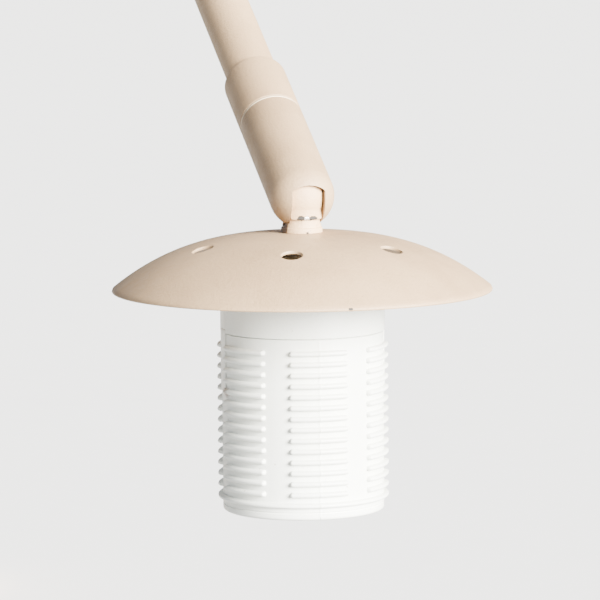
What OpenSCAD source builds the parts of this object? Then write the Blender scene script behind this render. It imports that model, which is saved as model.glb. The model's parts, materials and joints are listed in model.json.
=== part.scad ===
// Architect desk lamp: a heavy round base, two tube arms, three slotted knuckles with swivels,
// and a head made of a shallow shade over a white cup and a ribbed sleeve.
// Row frame: origin at the centre of the base's underside, +Z up, the lower arm leans towards +X.

/* [Rest pose] */
// Lean of the lower arm from upright, in degrees
lower_lean = 28; // [15:1:40]
// How far the upper arm is turned about the vertical from the lower arm's lean, in degrees
upper_turn = 43; // [20:1:60]
// Drop of the upper arm below level, in degrees
upper_drop = 29.9; // [20:0.1:35]

/* [Arms] */
// Lower arm, pivot to pivot
lower_len = 480; // [300:5:600]
// Upper arm, pivot to pivot
upper_len = 480; // [300:5:600]
// Outer diameter of both arm tubes
tube_d = 25; // [20:0.5:28]
// Wall of the arm tubes
tube_wall = 1.5; // [1:0.1:2.5]
// Diameter of the lead inside each tube
lead_d = 5; // [3:0.5:6]

/* [Knuckles] */
// Diameter of the knuckle housings and collars
joint_d = 31; // [29:0.5:38]
// Housing length, pivot to swivel washer
housing_len = 61; // [50:1:80]
// Width of the slot that the tongue turns in
slot_w = 15.8; // [13:0.1:17]
// Thickness of each friction washer beside the tongue
friction_t = 0.45; // [0.3:0.05:1]
// Radius of the tongue's ball end
tongue_r = 12.7; // [12:0.1:14]
// Radius of the stout bar below the tongue
bar_r = 11.1; // [10:0.1:12]
// Depth of the stout bar, from the pivot
bar_end = 10.8; // [9:0.1:12]
// Radius of the slim neck below the bar
neck_r = 9.2; // [8.5:0.1:10]
// Smallest angle between a housing and the neck in it
bend_min = -4; // [-10:1:0]
// Largest angle between a housing and the neck in it
bend_max = 118; // [95:1:120]
// Pivot screw shank diameter
pin_d = 6; // [4:0.5:7]

/* [Swivels] */
// Length of the collar on the end of an arm tube
collar_len = 35; // [24:0.5:40]
// How far a tube goes into its collar
socket_depth = 20; // [12:1:24]
// Thickness of the washer between collar and housing
washer_t = 1.4; // [1:0.1:3]
// Diameter of the hollow swivel spindle
spindle_d = 12; // [10:0.5:13]
// Bore of the spindle, for the lead
spindle_bore = 7; // [5:0.5:8]
// Thickness of the floor in the housing that the spindle turns in
floor_t = 8; // [5:0.5:12]

/* [Base] */
// Diameter of the cast base
base_d = 230; // [200:5:280]
// Thickness of the cast base
base_h = 22; // [18:1:30]
// Radius of the base's top edge
base_edge = 5; // [2:0.5:8]
// Thickness of the pad under the base
pad_t = 2.5; // [1.5:0.5:5]
// Height of the collar on the base
base_collar_h = 10; // [8:1:30]
// Distance of the push button behind the centre
switch_x = 62; // [50:1:75]
// Diameter of the push button
button_d = 14; // [10:0.5:16]
// Travel of the push button
button_travel = 3; // [2:0.5:4]
// Bore of the cable inlet
inlet_d = 7.2; // [6:0.1:8]

/* [Shade] */
// Diameter of the shade
shade_d = 180; // [150:5:220]
// Height of the shade from rim to crown
shade_h = 26.3; // [20:0.1:40]
// Sheet thickness of the shade
shade_t = 1.5; // [1:0.1:2.5]
// Exponent of the shade's profile, larger is flatter at the crown
shade_power = 2.75; // [2:0.05:3.5]
// Distance of the crown from the head's pivot
crown_z = 17.5; // [17:0.1:24]
// Diameter of each cooling hole
vent_d = 10; // [6:0.5:14]
// Radius of the circle of cooling holes
vent_ring = 51; // [44:0.5:60]
// Number of cooling holes
vent_count = 6; // [3:1:8]
// Turn of the first cooling hole from the head's front
vent_turn = 20.6; // [0:0.1:60]

/* [Cup and sleeve] */
// Outer diameter of the smooth white cup
cup_d = 77.8; // [70:0.2:90]
// Gap between shade and cup, at the axis
cup_gap = 8; // [5:0.5:12]
// Wall of the cup
cup_wall = 2; // [1.2:0.1:3]
// How far the cup shows below the rim of the shade
cup_show = 20.5; // [10:0.5:30]
// Outer diameter of the sleeve between its ribs
sleeve_d = 76.5; // [68:0.1:88]
// Wall of the sleeve
sleeve_wall = 3; // [2.4:0.1:4]
// Length of the sleeve below the cup
sleeve_len = 85; // [60:1:110]
// How far the sleeve goes up inside the cup
spigot_len = 8; // [5:0.5:12]
// Distance between rib rows
rib_pitch = 5.11; // [4.5:0.01:6]
// Number of rib rows
rib_rows = 14; // [4:1:14]
// Height of a rib above the sleeve
rib_high = 2.3; // [1:0.1:3]
// Thickness of a rib
rib_wide = 2.5; // [1.5:0.1:3.5]
// Number of rib blocks round the sleeve
rib_blocks = 6; // [3:1:8]
// Smooth band between two blocks, in degrees
rib_band = 18; // [10:1:30]
// Turn of the first rib block from the head's front
rib_turn = 3.7; // [0:0.1:60]
// Length of the two snap fingers below the cup's edge
finger_len = 27.5; // [15:0.5:40]

/* [Lamp] */
// Diameter of the bulb's glass
bulb_d = 55; // [45:1:60]
// Length of the bulb
bulb_len = 98; // [80:1:105]
// Diameter of the lampholder
holder_d = 37; // [34:1:44]

/* [Fits] */
// Running clearance on a radius, for pins and spindles
running = 0.05; // [0.01:0.01:0.1]
// Clearance on a radius between glued or screwed pieces
seat = 0.02; // [0.01:0.01:0.05]
// Clearance between pieces that pass each other
pass = 0.3; // [0.2:0.05:0.6]

/* [Hidden] */
$fn = 64;

paint = [0.88, 0.82, 0.74];
white = [0.96, 0.96, 0.94];
steel = [0.72, 0.72, 0.72];
brass = [0.80, 0.65, 0.35];
dark = [0.20, 0.19, 0.18];

// Knuckle
joint_r = joint_d / 2;
tongue_t = slot_w - 2 * (friction_t + running);
pocket_r = tongue_r + pass;
arch_r = bar_r + pass;
pin_r = pin_d / 2;
cheek_web = 2.1;
screw_seat = slot_w / 2 + cheek_web;
spring_t = 0.9;
screw_head_t = 2.5;
screw_head_r = 5;
cap_r = 6.1;
cap_from = screw_seat + spring_t + screw_head_t + 0.2;
blind_depth = 4.8;
edge_break = 0.5;
head_flat_reach = 13.75;
arm_flat_reach = 18.6;
plug_from = 25.5;
plug_len = 18;
lead_way = 2.3;
lead_offset = 6.4;

// Swivel
spindle_r = spindle_d / 2;
chamber_r = slot_w / 2;
swivel_spring_t = 1;
washer_in = 0.15;
nut_h = 4;
nut_r = chamber_r - 0.35;
collar_round = 2;
collar_floor = collar_len - socket_depth;

// Base
base_top = pad_t + base_h;
base_pocket_r = 18;
base_pocket_h = 9;
foot_nut_h = 5;
shoulder_h = base_top + base_collar_h + washer_t + housing_len;
switch_pocket_r = 15;
switch_pocket_top = pad_t + 17;
bezel_r = 11;
bezel_t = 1.5;
button_top = base_top + 6;
lead_channel_r = 4.5;
gland_out = 14;
gland_in = 12;

// Head, measured down from the pivot
flange_r = 9.8;
flange_from = 15;
rim_z = crown_z + shade_h;
nipple_r = 5;
nipple_bore = 3.4;
cup_top = crown_z + shade_t + cup_gap;
cup_end = rim_z + cup_show;
cup_round = 5;
cup_nut_h = 3;
cup_in = cup_d / 2 - cup_wall;
sleeve_r = sleeve_d / 2;
sleeve_in = sleeve_r - sleeve_wall;
sleeve_end = cup_end + sleeve_len;
first_rib = cup_end + 6.4;
ring_rib = first_rib + rib_rows * rib_pitch;
foot_groove = ring_rib + 3.6;
finger_angle = 16;
finger_proud = 0.6;
finger_up = 2;
finger_slit = 0.6;
holder_top = cup_top + cup_wall + cup_nut_h;
holder_cap_h = 18;
holder_body_h = 27;
holder_r = holder_d / 2;
contact_z = holder_top + 14;
shell_r = 13.4;
shell_t = 0.5;
bulb_cap_r = 13;
bulb_r = bulb_d / 2;
bulb_centre = contact_z + bulb_len - bulb_r;

// Rest angles of the joints: each arm's direction in the frame before it gives a turn and a bend
function undo_y(v, a) = [v.x * cos(a) - v.z * sin(a), v.y, v.x * sin(a) + v.z * cos(a)];
function undo_z(v, a) = [v.x * cos(a) + v.y * sin(a), v.y * cos(a) - v.x * sin(a), v.z];
upper_dir = [cos(upper_drop) * cos(upper_turn), -cos(upper_drop) * sin(upper_turn), -sin(upper_drop)];
upper_local = undo_y(upper_dir, lower_lean);
elbow_turn = atan2(upper_local.y, upper_local.x);
elbow_bend = acos(upper_local.z);
head_local = undo_y(undo_z(undo_y([0, 0, -1], lower_lean), elbow_turn), elbow_bend);
head_turn = atan2(head_local.y, head_local.x);
head_bend = acos(head_local.z);

// ---- Frames: a housing's frame has its pivot at the origin and its tip along +Z ----
module at_shoulder() { translate([0, 0, shoulder_h]) children(); }
module on_lower() { at_shoulder() rotate([0, lower_lean, 0]) children(); }
module at_elbow() { on_lower() translate([0, 0, lower_len]) rotate([0, 0, elbow_turn]) children(); }
module on_upper() { at_elbow() rotate([0, elbow_bend, 0]) children(); }
module at_head() { on_upper() translate([0, 0, upper_len]) rotate([0, 0, head_turn]) children(); }
module on_head() { at_head() rotate([0, head_bend, 0]) children(); }

// ---- Shared shapes ----
// A round bar with a chamfer of c at the bottom and at the top
module bar(r, h, c = 0, c_top = 0) {
  rotate_extrude()
    polygon([[0, 0], [r - c, 0], [r, c], [r, h - c_top], [r - c_top, h], [0, h]]);
}
module ring(r_out, r_in, h) {
  difference() {
    cylinder(r = r_out, h = h);
    translate([0, 0, -1]) cylinder(r = r_in, h = h + 2);
  }
}
module hex_nut(r, hole, h) {
  difference() {
    cylinder(r = r, h = h, $fn = 6);
    translate([0, 0, -1]) cylinder(r = hole, h = h + 2);
  }
}
// Along +Y from y = from
module along_y(from) { translate([0, from, 0]) rotate([-90, 0, 0]) children(); }
module slab(t, size) { cube([size, t, size], center = true); }

// ---- Knuckle pieces, in the housing's frame ----
function aim(a) = [sin(a), cos(a)];
module slot_cut() {
  far = 2 * joint_d;
  step = (bend_max - bend_min) / 3;
  intersection() {
    slab(slot_w, 4 * far);
    union() {
      along_y(-slot_w) cylinder(r = pocket_r, h = 2 * slot_w);
      rotate([0, bend_min, 0]) cylinder(r = arch_r, h = far);
      rotate([0, bend_max, 0]) cylinder(r = arch_r, h = far);
      rotate([90, 0, 0]) translate([0, 0, -slot_w])
        linear_extrude(2 * slot_w)
          polygon([[0, 0], far * aim(bend_min), 2 * far * aim(bend_min + step),
            2 * far * aim(bend_max - step), far * aim(bend_max)]);
    }
  }
}
module housing_body() {
  rotate_extrude() {
    intersection() {
      circle(r = joint_r);
      square(joint_r + 1);
    }
    polygon([[0, -housing_len], [joint_r - edge_break, -housing_len],
      [joint_r, -housing_len + edge_break], [joint_r, 0.001], [0, 0.001]]);
  }
}
module housing() {
  difference() {
    housing_body();
    slot_cut();
    translate([0, 0, -housing_len + floor_t]) cylinder(r = chamber_r, h = housing_len - floor_t - pin_d);
    translate([0, 0, -housing_len - 1]) cylinder(r = spindle_r + running, h = floor_t + 2);
    along_y(-slot_w / 2 - blind_depth) cylinder(r = pin_r, h = joint_d);
    along_y(screw_seat) cylinder(r = cap_r + 0.1, h = joint_d);
  }
}
module pivot_screw() {
  socket_d = 4.6;
  difference() {
    union() {
      along_y(-slot_w / 2 - blind_depth + 0.2)
        cylinder(r = pin_r - seat, h = screw_seat + spring_t + slot_w / 2 + blind_depth);
      along_y(screw_seat + spring_t) cylinder(r = screw_head_r, h = screw_head_t);
    }
    along_y(screw_seat + spring_t + 0.7) cylinder(d = socket_d, h = screw_head_t, $fn = 6);
  }
}
module pivot_spring() { along_y(screw_seat) ring(screw_head_r + 0.6, pin_r + 0.1, spring_t); }
module pivot_friction_washers() {
  for (from = [-slot_w / 2, slot_w / 2 - friction_t])
    along_y(from) ring(tongue_r - 3.5, pin_r + 0.1, friction_t);
}
module pivot_cap() {
  along_y(0) rotate_extrude() intersection() {
    circle(r = joint_r);
    translate([0, cap_from]) square([cap_r, joint_r]);
  }
}

// ---- Necks, pivot at the origin, running out along +Z ----
module tongue() {
  along_y(0) rotate_extrude() intersection() {
    circle(r = tongue_r);
    translate([0, -tongue_t / 2]) square([tongue_r, tongue_t]);
  }
  intersection() {
    slab(tongue_t, 4 * joint_d);
    cylinder(r = bar_r, h = bar_end);
  }
}
// The slim neck keeps its flats as far as the cheeks of the housing reach
module slim_neck(end, flat_reach) {
  difference() {
    cylinder(r = neck_r, h = end);
    for (side = [0, 1])
      mirror([0, side, 0]) along_y(tongue_t / 2) cylinder(r = flat_reach, h = joint_d);
  }
}
module pin_hole() { along_y(-joint_d) cylinder(r = pin_r + running - seat, h = 2 * joint_d); }
module arm_neck() {
  difference() {
    union() {
      tongue();
      slim_neck(plug_from - 1, arm_flat_reach);
      translate([0, 0, plug_from - 4.5]) bar(tube_d / 2, 4.5, 1);
      translate([0, 0, plug_from - 1]) bar(tube_d / 2 - tube_wall - seat, plug_len + 1, 0, 1);
    }
    pin_hole();
    translate([lead_offset, 0, -joint_d]) cylinder(r = lead_way, h = joint_d + plug_from);
    translate([0, 0, plug_from - 5]) cylinder(r = lead_offset + lead_way, h = plug_len + 6);
  }
}
module arm_tube(len) {
  from = plug_from;
  to = len - housing_len - washer_t - collar_floor;
  translate([0, 0, from + seat]) ring(tube_d / 2, tube_d / 2 - tube_wall, to - from - 2 * seat);
}
module arm_lead(len) {
  from = plug_from - 4;
  to = len - housing_len - washer_t - collar_floor - 1;
  translate([0, 0, from]) cylinder(d = lead_d, h = to - from);
}

// ---- Swivel pieces, in the frame of the housing that they carry ----
washer_z = -housing_len - washer_t;
module swivel_collar() {
  translate([0, 0, washer_z - collar_len])
    difference() {
      rotate_extrude() {
        translate([joint_r - collar_round, collar_round]) circle(r = collar_round);
        translate([0, collar_round])
          polygon([[0, 0], [joint_r, 0], [joint_r, collar_len - collar_round - edge_break],
            [joint_r - edge_break, collar_len - collar_round], [0, collar_len - collar_round]]);
        square([joint_r - collar_round, collar_len / 2]);
      }
      translate([0, 0, -1]) cylinder(r = tube_d / 2 + seat, h = socket_depth + 1);
      cylinder(r = spindle_r + seat, h = collar_len + 1);
    }
}
// from is how far the spindle reaches below the washer
module swivel_spindle(below) {
  above = floor_t + swivel_spring_t + nut_h + 1.5;
  translate([0, 0, washer_z - below]) ring(spindle_r, spindle_bore / 2, below + washer_t + above);
}
module swivel_washer() { translate([0, 0, washer_z]) ring(joint_r - washer_in, spindle_r + seat, washer_t - running); }
module swivel_spring() {
  translate([0, 0, -housing_len + floor_t + running]) ring(chamber_r - 0.5, spindle_r + seat, swivel_spring_t - running);
}
module swivel_nut() {
  translate([0, 0, -housing_len + floor_t + swivel_spring_t]) hex_nut(nut_r, spindle_r + seat, nut_h);
}

// ---- Base ----
module base_weight() {
  color(paint) difference() {
    translate([0, 0, pad_t]) rotate_extrude() {
      square([base_d / 2 - base_edge, base_h]);
      translate([0, 1]) square([base_d / 2, base_h - base_edge - 1]);
      polygon([[0, 0], [base_d / 2 - 1, 0], [base_d / 2, 1], [0, 1]]);
      translate([base_d / 2 - base_edge, base_h - base_edge]) circle(r = base_edge);
    }
    cylinder(r = spindle_r + seat, h = base_top + 1);
    translate([0, 0, pad_t - 1]) cylinder(r = base_pocket_r, h = base_pocket_h + 1);
    translate([-switch_x, 0, pad_t - 1]) cylinder(r = switch_pocket_r, h = switch_pocket_top - pad_t + 1);
    translate([-switch_x, 0, 0]) cylinder(r = button_d / 2 + 1.2, h = base_top + 1);
    translate([0, 0, pad_t]) rotate([0, -90, 0]) cylinder(r = lead_channel_r, h = switch_x);
    translate([-switch_x, 0, pad_t + base_h / 2]) rotate([0, -90, 0]) cylinder(r = lead_channel_r + seat, h = base_d);
  }
}
module base_pad() { color(dark) cylinder(r = base_d / 2 - 3, h = pad_t); }
module base_nut() {
  color(steel) translate([0, 0, pad_t + base_pocket_h - foot_nut_h]) hex_nut(11, spindle_r + seat, foot_nut_h);
}
module cable_gland() {
  flange_t = 4;
  color(dark) translate([-base_d / 2, 0, pad_t + base_h / 2]) rotate([0, -90, 0])
    difference() {
      union() {
        translate([0, 0, -gland_in]) cylinder(r = lead_channel_r, h = gland_in + flange_t);
        bar(8, flange_t, 0, 1);
        translate([0, 0, flange_t - 0.5]) bar(5.8, gland_out - flange_t + 0.5, 0, 0.8);
      }
      translate([0, 0, -gland_in - 1]) cylinder(d = inlet_d, h = gland_in + gland_out + 2);
    }
}
module switch_body() {
  color(dark) difference() {
    translate([-switch_x, 0, pad_t + 1.5]) cylinder(r = switch_pocket_r - 2, h = switch_pocket_top - pad_t - 1.7);
    translate([-switch_x, 0, pad_t + 4]) cylinder(r = 3 + pass, h = base_h);
  }
}
module switch_bezel() {
  color(dark) translate([-switch_x, 0, 0]) difference() {
    union() {
      translate([0, 0, switch_pocket_top]) cylinder(r = button_d / 2 + 1.2 - seat, h = base_top - switch_pocket_top + 1);
      translate([0, 0, base_top]) bar(bezel_r, bezel_t, 0, 0.8);
    }
    cylinder(r = button_d / 2 + pass, h = base_top + 5);
  }
}
module switch_button() {
  stem_from = pad_t + 4 + button_travel + 1;
  cap_from_z = switch_pocket_top + button_travel + 0.5;
  color(dark) translate([-switch_x, 0, 0]) {
    translate([0, 0, stem_from]) cylinder(r = 3, h = cap_from_z - stem_from + 1);
    translate([0, 0, cap_from_z]) bar(button_d / 2, button_top - cap_from_z, 0, 1);
  }
}
module base_collar() {
  color(paint) difference() {
    translate([0, 0, base_top]) rotate_extrude() {
      polygon([[0, 0], [joint_r, 0], [joint_r, base_collar_h - edge_break],
        [joint_r - edge_break, base_collar_h], [0, base_collar_h]]);
    }
    cylinder(r = spindle_r + seat, h = base_top + base_collar_h + 1);
  }
}
module base_spindle() { color(steel) at_shoulder() swivel_spindle(base_collar_h + base_h - 5); }
module base_swivel_washer() { color(white) at_shoulder() swivel_washer(); }
module base_swivel_spring() { color(steel) at_shoulder() swivel_spring(); }
module base_swivel_nut() { color(steel) at_shoulder() swivel_nut(); }

// ---- Shoulder ----
module shoulder_housing() { color(paint) at_shoulder() housing(); }
module shoulder_pivot_screw() { color(steel) at_shoulder() pivot_screw(); }
module shoulder_spring() { color(steel) at_shoulder() pivot_spring(); }
module shoulder_friction_washers() { color(dark) at_shoulder() pivot_friction_washers(); }
module shoulder_cap() { color(paint) at_shoulder() pivot_cap(); }

// ---- Lower arm ----
module lower_neck() { color(paint) on_lower() arm_neck(); }
module lower_tube() { color(paint) on_lower() arm_tube(lower_len); }
module lower_lead() { color(white) on_lower() arm_lead(lower_len); }
module elbow_collar() { color(paint) at_elbow() swivel_collar(); }
module elbow_spindle() { color(steel) at_elbow() swivel_spindle(collar_floor - 1); }
module elbow_swivel_washer() { color(white) at_elbow() swivel_washer(); }
module elbow_swivel_spring() { color(steel) at_elbow() swivel_spring(); }
module elbow_swivel_nut() { color(steel) at_elbow() swivel_nut(); }

// ---- Elbow ----
module elbow_housing() { color(paint) at_elbow() housing(); }
module elbow_pivot_screw() { color(steel) at_elbow() pivot_screw(); }
module elbow_spring() { color(steel) at_elbow() pivot_spring(); }
module elbow_friction_washers() { color(dark) at_elbow() pivot_friction_washers(); }
module elbow_cap() { color(paint) at_elbow() pivot_cap(); }

// ---- Upper arm ----
module upper_neck() { color(paint) on_upper() arm_neck(); }
module upper_tube() { color(paint) on_upper() arm_tube(upper_len); }
module upper_lead() { color(white) on_upper() arm_lead(upper_len); }
module head_collar() { color(paint) at_head() swivel_collar(); }
module head_spindle() { color(steel) at_head() swivel_spindle(collar_floor - 1); }
module head_swivel_washer() { color(white) at_head() swivel_washer(); }
module head_swivel_spring() { color(steel) at_head() swivel_spring(); }
module head_swivel_nut() { color(steel) at_head() swivel_nut(); }

// ---- Head knuckle ----
module head_housing() { color(paint) at_head() housing(); }
module head_pivot_screw() { color(steel) at_head() pivot_screw(); }
module head_spring() { color(steel) at_head() pivot_spring(); }
module head_friction_washers() { color(dark) at_head() pivot_friction_washers(); }
module head_cap() { color(paint) at_head() pivot_cap(); }

// ---- Head: +Z runs down from the pivot ----
module head_neck() {
  color(paint) on_head() difference() {
    union() {
      tongue();
      slim_neck(crown_z, head_flat_reach);
      translate([0, 0, flange_from]) bar(flange_r, crown_z - flange_from, 0.6);
    }
    pin_hole();
    translate([0, 0, crown_z - 7]) cylinder(r = nipple_r + seat, h = 8);
    translate([lead_offset, 0, -joint_d]) cylinder(r = lead_way - 0.6, h = joint_d + 8);
    translate([0, 0, 5.5]) cylinder(r = nipple_bore, h = crown_z);
  }
}
function shade_drop(r) = shade_h * pow(r / (shade_d / 2), shade_power);
shade_steps = 20;
module shade() {
  radii = [for (i = [0 : shade_steps]) shade_d / 2 * i / shade_steps];
  outer = [for (r = radii) [r, crown_z + shade_drop(r)]];
  inner = [for (i = [shade_steps : -1 : 0]) [radii[i], crown_z + shade_t + shade_drop(radii[i])]];
  color(paint) on_head() difference() {
    intersection() {
      rotate_extrude() polygon(concat(outer, inner));
      translate([0, 0, crown_z - 1]) cylinder(d = shade_d, h = shade_h + 1);
    }
    translate([0, 0, crown_z - 1]) cylinder(r = nipple_r + 0.2, h = shade_t + 2);
    for (i = [0 : vent_count - 1])
      rotate([0, 0, 180 + vent_turn + i * 360 / vent_count])
        translate([vent_ring, 0, 0]) cylinder(d = vent_d, h = rim_z);
  }
}
module nipple() {
  color(brass) on_head() translate([0, 0, crown_z - 6.5])
    ring(nipple_r, nipple_bore, holder_top + 6 - crown_z + 6.5);
}
module cup_spacer() {
  spacer_r = 9;
  from = crown_z + shade_t + shade_drop(spacer_r);
  color(steel) on_head() translate([0, 0, from])
    ring(spacer_r, nipple_r + 0.2, cup_top - from);
}
module cup() {
  air_holes = 8;
  color(white) on_head() difference() {
    translate([0, 0, cup_top]) rotate_extrude() difference() {
      union() {
        translate([cup_d / 2 - cup_round, cup_round]) circle(r = cup_round);
        square([cup_d / 2 - cup_round, cup_end - cup_top]);
        translate([0, cup_round]) square([cup_d / 2, cup_end - cup_top - cup_round]);
      }
      translate([0, cup_wall]) {
        translate([cup_in - cup_round + cup_wall, cup_round - cup_wall]) circle(r = cup_round - cup_wall);
        square([cup_in - cup_round + cup_wall, cup_end]);
        translate([0, cup_round - cup_wall]) square([cup_in, cup_end]);
      }
    }
    cylinder(r = nipple_r + 0.2, h = cup_end);
    for (i = [0 : air_holes - 1])
      rotate([0, 0, i * 360 / air_holes]) translate([0.7 * cup_in, 0, 0]) cylinder(d = 8, h = cup_top + cup_wall + 1);
    for (side = [0, 180])
      rotate([0, 0, 180 + rib_turn + 90 + side]) translate([0, 0, cup_end - finger_up - pass])
        finger_sector(finger_angle + 1, cup_in - 1, cup_d / 2 + 1, finger_up + pass + 1);
  }
}
// A slice of a ring, centred on +X
module finger_sector(angle, r_in, r_out, h) {
  rotate([0, 0, -angle / 2]) rotate_extrude(angle = angle)
    translate([r_in, 0]) square([r_out - r_in, h]);
}
module cup_nut() {
  color(steel) on_head() translate([0, 0, cup_top + cup_wall]) hex_nut(9, nipple_r + seat, cup_nut_h);
}
module rib_profile() {
  for (i = [0 : rib_rows - 1]) translate([sleeve_r, first_rib + i * rib_pitch]) one_rib();
}
module one_rib() {
  translate([rib_high - rib_wide / 2, 0]) circle(r = rib_wide / 2);
  translate([-1, -rib_wide / 2]) square([rib_high - rib_wide / 2 + 1, rib_wide]);
}
module sleeve_wall_profile() {
  round_r = 1.5;
  difference() {
    union() {
      translate([sleeve_in, cup_end]) square([sleeve_wall, sleeve_len - round_r]);
      translate([sleeve_in, cup_end]) square([sleeve_wall - round_r, sleeve_len]);
      translate([sleeve_r - round_r, sleeve_end - round_r]) circle(r = round_r);
      translate([sleeve_in, cup_end - spigot_len]) square([cup_in - 0.1 - sleeve_in, spigot_len + 1]);
      translate([sleeve_r, ring_rib]) one_rib();
    }
    translate([sleeve_r, foot_groove]) circle(r = 0.5);
  }
}
module sleeve() {
  block = 360 / rib_blocks - rib_band;
  color(white) on_head() rotate([0, 0, 180 + rib_turn]) {
    difference() {
      rotate_extrude() sleeve_wall_profile();
      for (side = [90, 270]) rotate([0, 0, side]) translate([0, 0, cup_end - 0.5])
        finger_sector(finger_angle + 1, sleeve_in - 1, sleeve_r + 1, finger_len + 0.5 + finger_slit);
    }
    for (side = [90, 270]) rotate([0, 0, side]) translate([0, 0, cup_end - finger_up])
      finger_sector(finger_angle, sleeve_in + 0.4, sleeve_r + finger_proud, finger_len + finger_up);
    for (i = [0 : rib_blocks - 1])
      rotate([0, 0, i * 360 / rib_blocks - block / 2]) rotate_extrude(angle = block) rib_profile();
  }
}
module holder_cap() {
  color(white) on_head() translate([0, 0, holder_top]) difference() {
    union() {
      bar(holder_r, holder_cap_h, 4);
    }
    translate([0, 0, 9]) cylinder(r = holder_r - 2, h = holder_cap_h);
    translate([0, 0, -1]) cylinder(r = nipple_r + seat, h = 12);
  }
}
module holder_body() {
  color(white) on_head() translate([0, 0, holder_top + holder_cap_h])
    ring(holder_r, shell_r + shell_t + 0.3, holder_body_h);
}
module contact_block() {
  color(white) on_head() translate([0, 0, contact_z - 4.5]) cylinder(r = 12, h = 4);
}
module screw_shell() {
  color(brass) on_head() translate([0, 0, contact_z + 4.2]) ring(shell_r + shell_t, shell_r, 24);
}
module bulb_cap() {
  color(steel) on_head() difference() {
    union() {
      translate([0, 0, contact_z]) bar(5, 3, 1);
      translate([0, 0, contact_z + 3]) bar(bulb_cap_r, 23, 3);
    }
    translate([0, 0, contact_z + 16]) cylinder(r = bulb_cap_r - 0.6, h = 20);
  }
}
// The glass's outline, drawn in by inset
module bulb_outline(inset) {
  r = bulb_r - inset;
  shoulder = 40;
  neck = bulb_cap_r - 0.62 - inset;
  from = contact_z + 17;
  widen_to = bulb_centre - r * cos(shoulder);
  intersection() {
    translate([0, bulb_centre]) circle(r = r);
    translate([0, widen_to - 1]) square([bulb_r, bulb_len]);
  }
  polygon([[0, from], [neck, from], [neck, from + 10], [r * sin(shoulder), widen_to], [0, widen_to]]);
}
module bulb_glass() {
  glass_t = 1;
  color([1, 1, 1]) on_head() difference() {
    rotate_extrude() bulb_outline(0);
    rotate_extrude() bulb_outline(glass_t);
    translate([0, 0, contact_z + 16]) cylinder(r = bulb_cap_r - 0.62 - glass_t, h = 3);
  }
}

base_weight();
base_pad();
cable_gland();
switch_body();
switch_bezel();
switch_button();
base_collar();
base_spindle();
base_nut();
base_swivel_washer();
base_swivel_spring();
base_swivel_nut();
shoulder_housing();
shoulder_pivot_screw();
shoulder_spring();
shoulder_friction_washers();
shoulder_cap();
lower_neck();
lower_tube();
lower_lead();
elbow_collar();
elbow_spindle();
elbow_swivel_washer();
elbow_swivel_spring();
elbow_swivel_nut();
elbow_housing();
elbow_pivot_screw();
elbow_spring();
elbow_friction_washers();
elbow_cap();
upper_neck();
upper_tube();
upper_lead();
head_collar();
head_spindle();
head_swivel_washer();
head_swivel_spring();
head_swivel_nut();
head_housing();
head_pivot_screw();
head_spring();
head_friction_washers();
head_cap();
head_neck();
shade();
nipple();
cup_spacer();
cup();
cup_nut();
sleeve();
holder_cap();
holder_body();
contact_block();
screw_shell();
bulb_cap();
bulb_glass();
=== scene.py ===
import json
from math import atan2, cos, degrees, pi, radians, sin, sqrt, tan

import bmesh
import bpy
import numpy as np
from mathutils import Matrix, Vector


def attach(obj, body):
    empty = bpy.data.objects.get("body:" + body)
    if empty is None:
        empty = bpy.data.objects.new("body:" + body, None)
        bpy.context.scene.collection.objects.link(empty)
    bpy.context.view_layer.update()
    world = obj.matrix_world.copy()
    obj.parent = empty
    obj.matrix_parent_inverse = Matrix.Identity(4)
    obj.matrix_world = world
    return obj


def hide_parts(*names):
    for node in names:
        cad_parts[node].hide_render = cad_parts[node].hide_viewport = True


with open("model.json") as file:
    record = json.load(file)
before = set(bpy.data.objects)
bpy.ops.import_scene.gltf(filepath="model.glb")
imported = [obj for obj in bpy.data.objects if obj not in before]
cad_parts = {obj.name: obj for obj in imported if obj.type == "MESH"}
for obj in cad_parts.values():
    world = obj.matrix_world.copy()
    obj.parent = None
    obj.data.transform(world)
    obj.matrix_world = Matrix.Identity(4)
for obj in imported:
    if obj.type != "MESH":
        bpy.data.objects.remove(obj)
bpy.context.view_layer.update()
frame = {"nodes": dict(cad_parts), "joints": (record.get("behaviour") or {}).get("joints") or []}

mm = 0.001  # every size below is in millimetres, as the CAD has it
joints = {joint["name"]: joint for joint in frame["joints"]}


# Frames of the moving bodies
def frameAt(joint, zAxis, yAxis):
    z = Vector(zAxis).normalized()
    y = Vector(yAxis)
    y = (y - z * z.dot(y)).normalized()
    matrix = Matrix((y.cross(z), y, z)).transposed().to_4x4()
    matrix.translation = Vector(joints[joint]["pos_m"])
    return matrix


def axisOf(joint):
    return joints[joint]["axis"]


rowFrame = Matrix.Identity(4)
shoulderFrame = frameAt("shoulder_tilt", (0, 0, 1), axisOf("shoulder_tilt"))
lowerFrame = frameAt("shoulder_tilt", axisOf("elbow_swivel"), axisOf("shoulder_tilt"))
elbowFrame = frameAt("elbow_tilt", axisOf("elbow_swivel"), axisOf("elbow_tilt"))
upperFrame = frameAt("elbow_tilt", axisOf("head_swivel"), axisOf("elbow_tilt"))
knuckleFrame = frameAt("head_tilt", axisOf("head_swivel"), axisOf("head_tilt"))
headFrame = frameAt("head_tilt", (0, 0, -1), axisOf("head_tilt"))
# The shade's frame is turned square to the room, so that its box is no wider than the shade.
roomX = headFrame.to_3x3().inverted() @ Vector((1, 0, 0))
squareTurn = atan2(roomX.y, roomX.x)
shadeFrame = headFrame @ Matrix.Rotation(squareTurn, 4, "Z")


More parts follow.
